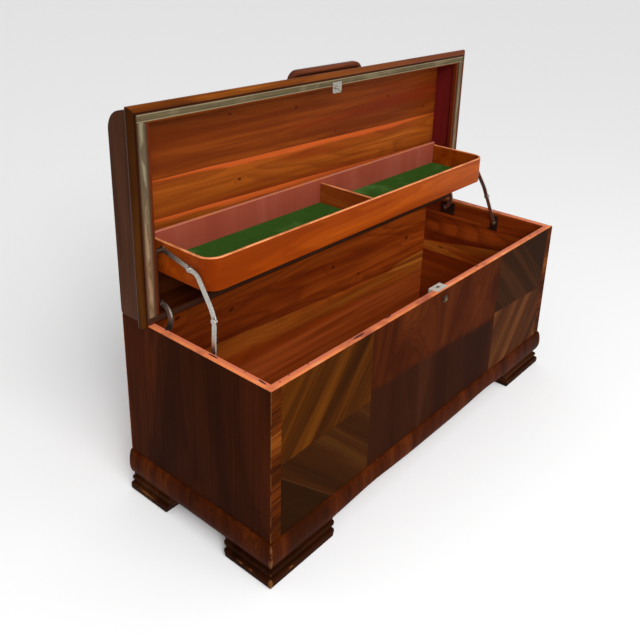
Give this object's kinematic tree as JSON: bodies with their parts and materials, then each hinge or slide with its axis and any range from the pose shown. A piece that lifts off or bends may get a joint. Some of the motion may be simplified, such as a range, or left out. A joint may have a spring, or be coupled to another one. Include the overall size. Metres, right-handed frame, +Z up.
{
  "type": "blanket chest",
  "caption": "Waterfall-front cedar blanket chest: the lid stands open on goose-neck arms and lifts a level tray on folding stays; push-button lock and bracket feet.",
  "frame": {"origin": "on the floor, under the middle of the base frame", "axes": "+Z up, -Y towards the front with the lock, +X to the right seen from the front"},
  "size_m": [1.234, 0.4684, 0.9604],
  "materials": {
    "cedar": "satin red cedar",
    "lid_cedar": "satin red cedar",
    "end_walnut": "polished dark walnut veneer",
    "striped": "polished striped walnut veneer",
    "gold_field": "polished golden walnut veneer",
    "red_field": "polished reddish walnut veneer",
    "brown_field": "polished brown walnut veneer",
    "rail": "polished dark red-brown wood",
    "foot": "polished dark brown wood",
    "maroon": "satin maroon stain",
    "lid_walnut": "polished walnut veneer",
    "moulding": "polished light walnut",
    "gasket": "grey-olive felt strip",
    "steel": "dull plated steel",
    "brass": "worn brass",
    "tray_wood": "satin cedar",
    "tray_rose": "matt dusty rose paint",
    "felt": "green felt"
  },
  "bodies": {
    "body": {"arm_plate_left": "steel", "arm_plate_right": "steel", "body_back": "cedar", "body_end_left": "cedar", "body_end_right": "cedar", "body_floor": "cedar", "body_front": "cedar", "foot_front_left": "foot", "foot_front_right": "foot", "foot_rear_left": "foot", "foot_rear_right": "foot", "lock_case": "steel", "rail_back": "rail", "rail_front": "rail", "rail_left": "rail", "rail_right": "rail", "stay_plate_left": "steel", "stay_plate_right": "steel", "veneer_end_left": "end_walnut", "veneer_end_right": "end_walnut", "veneer_field_centre": "red_field", "veneer_field_left": "gold_field", "veneer_field_right": "brown_field", "veneer_strip_left": "striped", "veneer_strip_right": "striped"},
    "arm_left": {"lid_arm_left": "steel"},
    "arm_right": {"lid_arm_right": "steel"},
    "lid": {"gasket_back": "gasket", "gasket_front": "gasket", "gasket_left": "gasket", "gasket_right": "gasket", "lid_back_board": "lid_cedar", "lid_catch": "steel", "lid_end_left": "maroon", "lid_end_right": "maroon", "lid_end_veneer_left": "lid_walnut", "lid_end_veneer_right": "lid_walnut", "lid_front_board": "lid_cedar", "lid_hinge_plate_left": "steel", "lid_hinge_plate_right": "steel", "lid_moulding_front": "moulding", "lid_moulding_left": "moulding", "lid_moulding_right": "moulding", "lid_pull": "moulding", "lid_top_board": "lid_cedar", "lid_veneer": "lid_walnut"},
    "tray": {"tray_back": "tray_rose", "tray_bar_left": "steel", "tray_bar_right": "steel", "tray_bottom": "tray_wood", "tray_divider": "tray_wood", "tray_felt_left": "felt", "tray_felt_right": "felt", "tray_rim": "tray_wood"},
    "lower_stay_left": {"stay_lower_left": "steel"},
    "upper_stay_left": {"stay_upper_left": "steel"},
    "lower_stay_right": {"stay_lower_right": "steel"},
    "upper_stay_right": {"stay_upper_right": "steel"},
    "button": {"lock_button": "brass"},
    "bolt": {"lock_bolt": "steel"}
  },
  "joints": [
    {"name": "arm_left_swing", "type": "hinge", "parent": "body", "child": "arm_left", "pos_m": [0, 0.13125, 0.45], "axis": [1, 0, 0], "range_deg": [-59, 0]},
    {"name": "lid_turn", "type": "hinge", "parent": "arm_left", "child": "lid", "pos_m": [0, 0.14049, 0.51496], "axis": [1, 0, 0], "range_deg": [0, 149]},
    {"name": "arm_right_swing", "type": "hinge", "parent": "body", "child": "arm_right", "pos_m": [0, 0.13125, 0.45], "axis": [1, 0, 0], "range_deg": [-59, 0]},
    {"name": "tray_turn", "type": "hinge", "parent": "lid", "child": "tray", "pos_m": [0, 0.14425, 0.6365], "axis": [1, 0, 0], "range_deg": [-90, 0]},
    {"name": "lower_stay_left_swing", "type": "hinge", "parent": "body", "child": "lower_stay_left", "pos_m": [0, -0.04125, 0.4375], "axis": [1, 0, 0], "range_deg": [0, 108.29]},
    {"name": "upper_stay_left_fold", "type": "hinge", "parent": "lower_stay_left", "child": "upper_stay_left", "pos_m": [0, -0.01875, 0.526], "axis": [1, 0, 0], "range_deg": [-143.78, 0]},
    {"name": "lower_stay_right_swing", "type": "hinge", "parent": "body", "child": "lower_stay_right", "pos_m": [0, -0.04125, 0.4375], "axis": [1, 0, 0], "range_deg": [0, 108.29]},
    {"name": "upper_stay_right_fold", "type": "hinge", "parent": "lower_stay_right", "child": "upper_stay_right", "pos_m": [0, -0.01875, 0.526], "axis": [1, 0, 0], "range_deg": [-143.78, 0]},
    {"name": "button_travel", "type": "slide", "parent": "body", "child": "button", "axis": [0, -1, 0], "range_m": [0, 0.003]},
    {"name": "bolt_throw", "type": "slide", "parent": "body", "child": "bolt", "axis": [1, 0, 0], "range_m": [0, 0.0033]}
  ],
  "couplings": [
    {"joint": "lid_turn", "follows": "arm_left_swing", "ratio": -2.5254},
    {"joint": "arm_right_swing", "follows": "arm_left_swing", "ratio": 1},
    {"joint": "tray_turn", "follows": "arm_left_swing", "ratio": 1.5254},
    {"joint": "lower_stay_left_swing", "follows": "arm_left_swing", "ratio": -1.8354},
    {"joint": "upper_stay_left_fold", "follows": "arm_left_swing", "ratio": 2.4369},
    {"joint": "lower_stay_right_swing", "follows": "arm_left_swing", "ratio": -1.8354},
    {"joint": "upper_stay_right_fold", "follows": "arm_left_swing", "ratio": 2.4369},
    {"joint": "bolt_throw", "follows": "button_travel", "ratio": 1.1}
  ]
}
